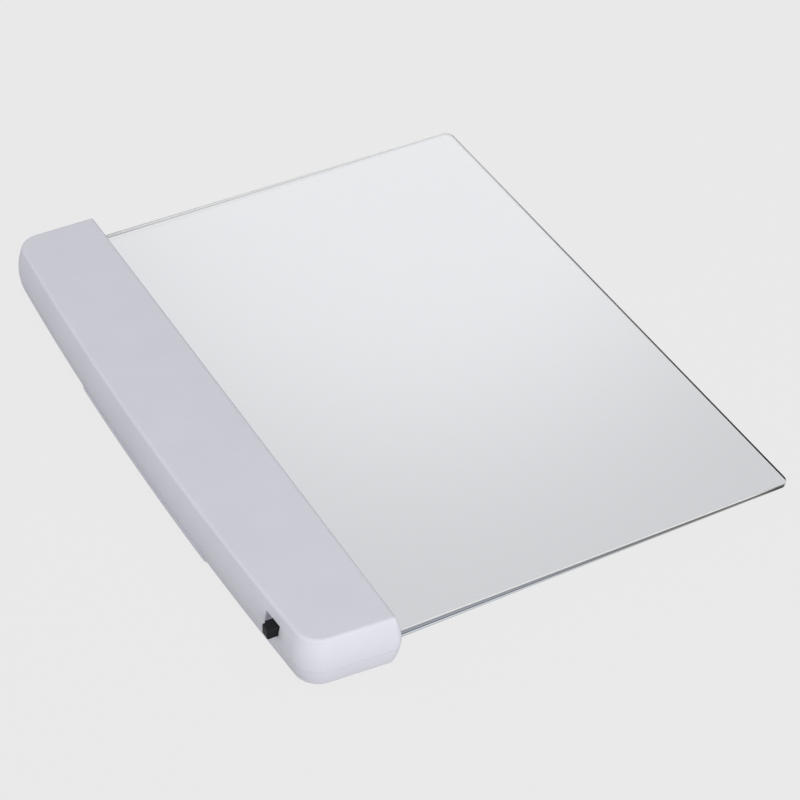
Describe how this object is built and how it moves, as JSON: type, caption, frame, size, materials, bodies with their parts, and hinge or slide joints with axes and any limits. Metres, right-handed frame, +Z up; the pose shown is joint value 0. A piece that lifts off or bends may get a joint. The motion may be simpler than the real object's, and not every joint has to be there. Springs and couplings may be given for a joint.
{
  "type": "panel book light",
  "caption": "Clear wedge-shaped light-guide panel edge-lit from a slim battery handle, with a slide switch in the outer side and a sliding battery door beneath.",
  "frame": {"origin": "under the middle of the light's overall box, on the plane of the battery door's flat face", "axes": "+Z up; +X from the handle to the panel's free edge; +Y along the handle, away from the switch"},
  "size_m": [0.1782, 0.2282, 0.0192],
  "materials": {
    "shell_plastic": "fine satin moulded ABS, white with a lavender cast",
    "acrylic": "clear polished acrylic",
    "white_film": "white polyester film",
    "foam": "closed-cell foam",
    "white_board": "white solder mask",
    "tape": "double-sided tape",
    "led_body": "moulded LED body with phosphor",
    "plated_steel": "nickel-plated sheet",
    "phenolic": "paper phenolic",
    "plated_brass": "tin-plated brass",
    "black_plastic": "black acetal",
    "copper_alloy": "phosphor bronze",
    "green_board": "green solder mask",
    "resistor_body": "lacquered resistor body",
    "cell_jacket": "printed jacket with bare ends, no lettering",
    "spring_steel": "nickel-plated spring wire",
    "wire_red": "PVC insulation",
    "wire_black": "PVC insulation",
    "screw_steel": "zinc-plated steel"
  },
  "bodies": {
    "handle": {"top_shell": "shell_plastic", "bottom_shell": "shell_plastic", "light_guide_panel": "acrylic", "reflector_film_upper": "white_film", "reflector_film_lower": "white_film", "panel_foam_strip": "foam", "led_strip_board": "white_board", "led_strip_tape": "tape", "leds": "led_body", "switch_frame": "plated_steel", "switch_base": "phenolic", "switch_terminals": "plated_brass", "control_board": "green_board", "dimming_resistors": "resistor_body", "battery_cell_1": "cell_jacket", "battery_cell_2": "cell_jacket", "battery_cell_3": "cell_jacket", "battery_cell_4": "cell_jacket", "negative_contact": "plated_steel", "positive_contact": "plated_steel", "bridge_contact": "plated_steel", "negative_spring": "spring_steel", "bridge_spring": "spring_steel", "battery_wire_red": "wire_red", "led_wire_red": "wire_red", "battery_wire_black": "wire_black", "led_wire_black": "wire_black", "shell_screws": "screw_steel"},
    "switch_slider": {"switch_knob": "black_plastic", "switch_wiper": "copper_alloy"},
    "battery_door": {"battery_door": "shell_plastic"}
  },
  "joints": [
    {"name": "switch_slide", "type": "slide", "parent": "handle", "child": "switch_slider", "axis": [0, 1, 0], "range_m": [0, 0.0033]},
    {"name": "battery_door_slide", "type": "slide", "parent": "handle", "child": "battery_door", "axis": [-1, 0, 0], "range_m": [0, 0.026]}
  ]
}
